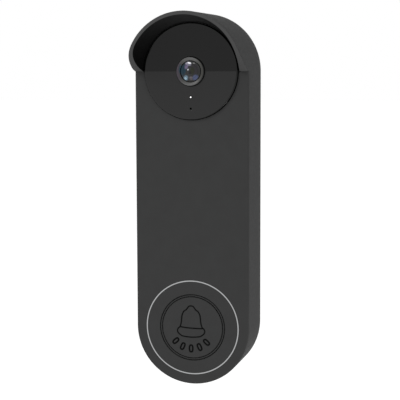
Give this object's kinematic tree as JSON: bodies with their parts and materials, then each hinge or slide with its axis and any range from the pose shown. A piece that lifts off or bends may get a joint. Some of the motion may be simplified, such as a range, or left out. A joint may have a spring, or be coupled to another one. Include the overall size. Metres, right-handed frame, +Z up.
{
  "type": "video doorbell",
  "caption": "Battery video doorbell on a wall plate, in a dark silicone sleeve with a rain hood over a round camera window and a ringed push button.",
  "frame": {"origin": "centre of the wall plate's back face, which lies on the wall", "axes": "+Z up along the pill-shaped body, +Y into the wall, the camera and button face -Y, +X to the right as seen from the front"},
  "size_m": [0.049, 0.0375, 0.1572],
  "materials": {
    "silicone_sleeve": "matt moulded silicone, dark grey",
    "translucent_ring": "translucent light grey",
    "housing_plastic": "fine spark-eroded texture, dark grey",
    "black_plastic": "matt black",
    "white_plastic": "satin white",
    "seal_rubber": "matt black",
    "window_acrylic": "polished, dark tint, lets infrared through",
    "lens_metal": "dark anodised, satin",
    "optical_glass": "coated, polished",
    "led_epoxy": "dark clear epoxy",
    "sensor_glass": "polished",
    "circuit_board": "green solder mask",
    "amber_film": "amber polyimide film",
    "battery_wrap": "blue shrink film",
    "plated_steel": "nickel plated",
    "brass": "satin",
    "speaker_paper": "matt film",
    "reset_red": "satin red"
  },
  "bodies": {
    "doorbell": {"light_guide_ring": "translucent_ring", "front_housing": "housing_plastic", "rear_housing": "housing_plastic", "wall_plate": "housing_plastic", "camera_carrier": "black_plastic", "lens_barrel": "black_plastic", "lens_holder": "black_plastic", "battery_tray": "black_plastic", "speaker_frame": "black_plastic", "reset_switch": "black_plastic", "status_light_pipe": "white_plastic", "status_led": "white_plastic", "housing_gasket": "seal_rubber", "mic_boot": "seal_rubber", "speaker_gasket": "seal_rubber", "window_adhesive": "seal_rubber", "camera_window": "window_acrylic", "lens_bezel": "lens_metal", "lens_front_element": "optical_glass", "lens_inner_element": "optical_glass", "ir_led_1": "led_epoxy", "ir_led_2": "led_epoxy", "ir_led_3": "led_epoxy", "ir_led_4": "led_epoxy", "image_sensor": "sensor_glass", "sensor_board": "circuit_board", "led_board": "circuit_board", "button_board": "circuit_board", "main_board": "circuit_board", "power_board": "circuit_board", "camera_flex_cable": "amber_film", "button_flex_cable": "amber_film", "wifi_antenna": "amber_film", "battery_pack": "battery_wrap", "case_screw_1": "plated_steel", "case_screw_2": "plated_steel", "case_screw_3": "plated_steel", "case_screw_4": "plated_steel", "rf_shield": "plated_steel", "microphone": "plated_steel", "dome_switch": "plated_steel", "speaker_magnet": "plated_steel", "usb_port": "plated_steel", "latch_spring": "plated_steel", "terminal_screw_left": "brass", "terminal_screw_right": "brass", "speaker_cone": "speaker_paper"},
    "sleeve": {"sleeve_with_hood": "silicone_sleeve", "light_ring_inlay": "translucent_ring", "button_surround": "silicone_sleeve"},
    "pad": {"button_pad": "silicone_sleeve"},
    "button": {"button_cap": "white_plastic"},
    "latch": {"release_latch": "white_plastic"},
    "reset": {"reset_button": "reset_red"},
    "filter": {"filter_carriage": "black_plastic", "ir_cut_glass": "optical_glass", "clear_glass": "optical_glass"}
  },
  "joints": [
    {"name": "sleeve_pull", "type": "slide", "parent": "doorbell", "child": "sleeve", "axis": [0, -1, 0], "range_m": [0, 0.06]},
    {"name": "button_press", "type": "slide", "parent": "doorbell", "child": "button", "axis": [0, 1, 0], "range_m": [0, 0.0006], "stiffness_N_per_m": 2500, "springref_m": -0.0004},
    {"name": "pad_press", "type": "slide", "parent": "sleeve", "child": "pad", "axis": [0, 1, 0], "range_m": [0, 0.0006]},
    {"name": "latch_release", "type": "slide", "parent": "doorbell", "child": "latch", "axis": [0, 0, 1], "range_m": [0, 0.0023], "stiffness_N_per_m": 600, "springref_m": -0.0015, "deforming": ["latch_spring"]},
    {"name": "reset_press", "type": "slide", "parent": "doorbell", "child": "reset", "axis": [0, -1, 0], "range_m": [0, 0.0005], "stiffness_N_per_m": 1500, "springref_m": -0.0004},
    {"name": "filter_shift", "type": "slide", "parent": "doorbell", "child": "filter", "axis": [-1, 0, 0], "range_m": [0, 0.0072]}
  ],
  "couplings": [
    {"joint": "pad_press", "follows": "button_press", "ratio": 1}
  ]
}
